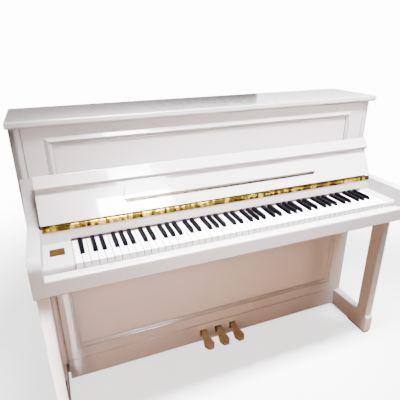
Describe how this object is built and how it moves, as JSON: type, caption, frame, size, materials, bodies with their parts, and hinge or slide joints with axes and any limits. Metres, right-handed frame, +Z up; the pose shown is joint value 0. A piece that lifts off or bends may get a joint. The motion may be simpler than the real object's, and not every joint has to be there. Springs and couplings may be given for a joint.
{
  "type": "upright piano",
  "caption": "Upright piano in white gloss lacquer, with a folding fallboard, a fold-out music shelf, working keys, brass pedals, a hinged top lid and its inner frame.",
  "frame": {"origin": "on the floor, at the middle of the whole piano's box", "axes": "+X to the player's right, +Y from the keyboard back into the case, +Z up"},
  "size_m": [1.464, 0.57, 1.1085],
  "materials": {
    "lacquer": "white polished polyester lacquer over wood",
    "hinge_brass": "polished",
    "pedal_brass": "worn polish",
    "plate_brass": "brushed and blank",
    "key_white": "satin white keytops",
    "key_black": "satin black",
    "felt_red": "wool felt",
    "hammer_felt": "pressed wool felt",
    "felt_green": "wool felt",
    "beech": "sanded",
    "spruce": "satin varnish",
    "cast_iron": "bronze paint",
    "string_steel": "drawn wire"
  },
  "bodies": {
    "case": {"side_left": "lacquer", "side_right": "lacquer", "arm_left": "lacquer", "arm_right": "lacquer", "leg_left": "lacquer", "leg_right": "lacquer", "toe_left": "lacquer", "toe_right": "lacquer", "bottom_board": "beech", "kick_rail": "lacquer", "upper_panel": "lacquer", "lid_hinge": "hinge_brass", "back_frame": "beech", "soundboard": "spruce", "iron_plate": "cast_iron", "strings": "string_steel", "keybed": "beech", "balance_rail": "beech", "action_frame": "beech", "key_slip": "lacquer", "key_block_left": "lacquer", "key_block_right": "lacquer", "blank_plate": "plate_brass", "name_rail": "lacquer", "nameboard_felt": "felt_red", "fallboard_hinge": "hinge_brass"},
    "fallboard": {"fallboard": "lacquer", "music_shelf_hinge": "hinge_brass"},
    "flap": {"fallboard_flap": "lacquer"},
    "music_shelf": {"music_shelf": "lacquer"},
    "lid": {"top_lid": "lacquer"},
    "lower_panel": {"lower_panel": "lacquer"},
    "pedal_left": {"pedal_left": "pedal_brass"},
    "pedal_middle": {"pedal_middle": "pedal_brass"},
    "pedal_right": {"pedal_right": "pedal_brass"},
    "rod_left": {"pedal_rod_left": "beech"},
    "rod_middle": {"pedal_rod_middle": "beech"},
    "rod_right": {"pedal_rod_right": "beech"},
    "hammer_rest": {"hammer_rest_rail": "felt_green", "hammers": "hammer_felt"},
    "muffler": {"muffler_rail": "felt_green"},
    "damper_lift": {"damper_lift_rail": "string_steel"},
    "key_C4": {"key_C4": "key_white"},
    "key_D4": {"key_D4": "key_white"},
    "key_E4": {"key_E4": "key_white"},
    "key_F4": {"key_F4": "key_white"},
    "key_G4": {"key_G4": "key_white"},
    "key_A4": {"key_A4": "key_white"},
    "key_B4": {"key_B4": "key_white"},
    "key_Cs4": {"key_Cs4": "key_black"},
    "key_Ds4": {"key_Ds4": "key_black"},
    "key_Fs4": {"key_Fs4": "key_black"},
    "key_Gs4": {"key_Gs4": "key_black"},
    "key_As4": {"key_As4": "key_black"},
    "keys_octave_1": {"keys_octave_1": "key_white"},
    "keys_octave_2": {"keys_octave_2": "key_white"},
    "keys_octave_3": {"keys_octave_3": "key_white"},
    "keys_octave_5": {"keys_octave_5": "key_white"},
    "keys_octave_6": {"keys_octave_6": "key_white"},
    "keys_octave_7": {"keys_octave_7": "key_white"}
  },
  "joints": [
    {"name": "fallboard_hinge", "type": "hinge", "parent": "case", "child": "fallboard", "pos_m": [0, -0.093, 0.778], "axis": [1, 0, 0], "range_deg": [0, 124.8]},
    {"name": "flap_hinge", "type": "hinge", "parent": "fallboard", "child": "flap", "pos_m": [0, -0.0211, 0.92873], "axis": [1, 0, 0], "range_deg": [-92.6, 0]},
    {"name": "music_shelf_hinge", "type": "hinge", "parent": "fallboard", "child": "music_shelf", "pos_m": [0, -0.07261, 0.82423], "axis": [-1, 0, 0], "range_deg": [-90, 0]},
    {"name": "lid_hinge", "type": "hinge", "parent": "case", "child": "lid", "pos_m": [0, 0.2817, 1.0865], "axis": [-1, 0, 0], "range_deg": [0, 100]},
    {"name": "lower_panel_tilt", "type": "hinge", "parent": "case", "child": "lower_panel", "pos_m": [0, 0.009, 0.121], "axis": [1, 0, 0], "range_deg": [0, 25]},
    {"name": "pedal_left_press", "type": "hinge", "parent": "case", "child": "pedal_left", "pos_m": [-0.075, 0.082, 0.078], "axis": [1, 0, 0], "range_deg": [0, 6], "stiffness_Nm_per_rad": 20, "springref_deg": -5.73},
    {"name": "pedal_middle_press", "type": "hinge", "parent": "case", "child": "pedal_middle", "pos_m": [0, 0.082, 0.078], "axis": [1, 0, 0], "range_deg": [0, 6], "stiffness_Nm_per_rad": 20, "springref_deg": -5.73},
    {"name": "pedal_right_press", "type": "hinge", "parent": "case", "child": "pedal_right", "pos_m": [0.075, 0.082, 0.078], "axis": [1, 0, 0], "range_deg": [0, 6], "stiffness_Nm_per_rad": 20, "springref_deg": -5.73},
    {"name": "rod_left_lift", "type": "slide", "parent": "case", "child": "rod_left", "axis": [0, 0, 1], "range_m": [0, 0.0075]},
    {"name": "rod_middle_lift", "type": "slide", "parent": "case", "child": "rod_middle", "axis": [0, 0, 1], "range_m": [0, 0.0075]},
    {"name": "rod_right_lift", "type": "slide", "parent": "case", "child": "rod_right", "axis": [0, 0, 1], "range_m": [0, 0.0075]},
    {"name": "hammer_rest_swing", "type": "hinge", "parent": "case", "child": "hammer_rest", "pos_m": [0, 0.096, 0.812], "axis": [1, 0, 0], "range_deg": [-9.5, 0]},
    {"name": "muffler_drop", "type": "slide", "parent": "case", "child": "muffler", "axis": [0, 0, 1], "range_m": [-0.045, 0]},
    {"name": "damper_lift", "type": "slide", "parent": "case", "child": "damper_lift", "axis": [0, 0, 1], "range_m": [0, 0.0075]},
    {"name": "key_C4_press", "type": "hinge", "parent": "case", "child": "key_C4", "pos_m": [0, -0.013, 0.698], "axis": [1, 0, 0], "range_deg": [0, 2.4], "stiffness_Nm_per_rad": 1, "springref_deg": -8.59},
    {"name": "key_D4_press", "type": "hinge", "parent": "case", "child": "key_D4", "pos_m": [0, -0.013, 0.698], "axis": [1, 0, 0], "range_deg": [0, 2.4], "stiffness_Nm_per_rad": 1, "springref_deg": -8.59},
    {"name": "key_E4_press", "type": "hinge", "parent": "case", "child": "key_E4", "pos_m": [0, -0.013, 0.698], "axis": [1, 0, 0], "range_deg": [0, 2.4], "stiffness_Nm_per_rad": 1, "springref_deg": -8.59},
    {"name": "key_F4_press", "type": "hinge", "parent": "case", "child": "key_F4", "pos_m": [0, -0.013, 0.698], "axis": [1, 0, 0], "range_deg": [0, 2.4], "stiffness_Nm_per_rad": 1, "springref_deg": -8.59},
    {"name": "key_G4_press", "type": "hinge", "parent": "case", "child": "key_G4", "pos_m": [0, -0.013, 0.698], "axis": [1, 0, 0], "range_deg": [0, 2.4], "stiffness_Nm_per_rad": 1, "springref_deg": -8.59},
    {"name": "key_A4_press", "type": "hinge", "parent": "case", "child": "key_A4", "pos_m": [0, -0.013, 0.698], "axis": [1, 0, 0], "range_deg": [0, 2.4], "stiffness_Nm_per_rad": 1, "springref_deg": -8.59},
    {"name": "key_B4_press", "type": "hinge", "parent": "case", "child": "key_B4", "pos_m": [0, -0.013, 0.698], "axis": [1, 0, 0], "range_deg": [0, 2.4], "stiffness_Nm_per_rad": 1, "springref_deg": -8.59},
    {"name": "key_Cs4_press", "type": "hinge", "parent": "case", "child": "key_Cs4", "pos_m": [0, -0.013, 0.698], "axis": [1, 0, 0], "range_deg": [0, 2.4], "stiffness_Nm_per_rad": 1, "springref_deg": -8.59},
    {"name": "key_Ds4_press", "type": "hinge", "parent": "case", "child": "key_Ds4", "pos_m": [0, -0.013, 0.698], "axis": [1, 0, 0], "range_deg": [0, 2.4], "stiffness_Nm_per_rad": 1, "springref_deg": -8.59},
    {"name": "key_Fs4_press", "type": "hinge", "parent": "case", "child": "key_Fs4", "pos_m": [0, -0.013, 0.698], "axis": [1, 0, 0], "range_deg": [0, 2.4], "stiffness_Nm_per_rad": 1, "springref_deg": -8.59},
    {"name": "key_Gs4_press", "type": "hinge", "parent": "case", "child": "key_Gs4", "pos_m": [0, -0.013, 0.698], "axis": [1, 0, 0], "range_deg": [0, 2.4], "stiffness_Nm_per_rad": 1, "springref_deg": -8.59},
    {"name": "key_As4_press", "type": "hinge", "parent": "case", "child": "key_As4", "pos_m": [0, -0.013, 0.698], "axis": [1, 0, 0], "range_deg": [0, 2.4], "stiffness_Nm_per_rad": 1, "springref_deg": -8.59},
    {"name": "keys_octave_1_press", "type": "hinge", "parent": "case", "child": "keys_octave_1", "pos_m": [0, -0.013, 0.698], "axis": [1, 0, 0], "range_deg": [0, 2.4], "stiffness_Nm_per_rad": 12, "springref_deg": -8.59},
    {"name": "keys_octave_2_press", "type": "hinge", "parent": "case", "child": "keys_octave_2", "pos_m": [0, -0.013, 0.698], "axis": [1, 0, 0], "range_deg": [0, 2.4], "stiffness_Nm_per_rad": 12, "springref_deg": -8.59},
    {"name": "keys_octave_3_press", "type": "hinge", "parent": "case", "child": "keys_octave_3", "pos_m": [0, -0.013, 0.698], "axis": [1, 0, 0], "range_deg": [0, 2.4], "stiffness_Nm_per_rad": 12, "springref_deg": -8.59},
    {"name": "keys_octave_5_press", "type": "hinge", "parent": "case", "child": "keys_octave_5", "pos_m": [0, -0.013, 0.698], "axis": [1, 0, 0], "range_deg": [0, 2.4], "stiffness_Nm_per_rad": 12, "springref_deg": -8.59},
    {"name": "keys_octave_6_press", "type": "hinge", "parent": "case", "child": "keys_octave_6", "pos_m": [0, -0.013, 0.698], "axis": [1, 0, 0], "range_deg": [0, 2.4], "stiffness_Nm_per_rad": 12, "springref_deg": -8.59},
    {"name": "keys_octave_7_press", "type": "hinge", "parent": "case", "child": "keys_octave_7", "pos_m": [0, -0.013, 0.698], "axis": [1, 0, 0], "range_deg": [0, 2.4], "stiffness_Nm_per_rad": 12, "springref_deg": -8.59}
  ],
  "couplings": [
    {"joint": "flap_hinge", "follows": "fallboard_hinge", "ratio": -0.74038},
    {"joint": "rod_left_lift", "follows": "pedal_left_press", "m_per_rad": 0.07},
    {"joint": "rod_middle_lift", "follows": "pedal_middle_press", "m_per_rad": 0.07},
    {"joint": "rod_right_lift", "follows": "pedal_right_press", "m_per_rad": 0.07},
    {"joint": "hammer_rest_swing", "follows": "pedal_left_press", "ratio": -1.5},
    {"joint": "muffler_drop", "follows": "pedal_middle_press", "m_per_rad": -0.42},
    {"joint": "damper_lift", "follows": "pedal_right_press", "m_per_rad": 0.07}
  ]
}
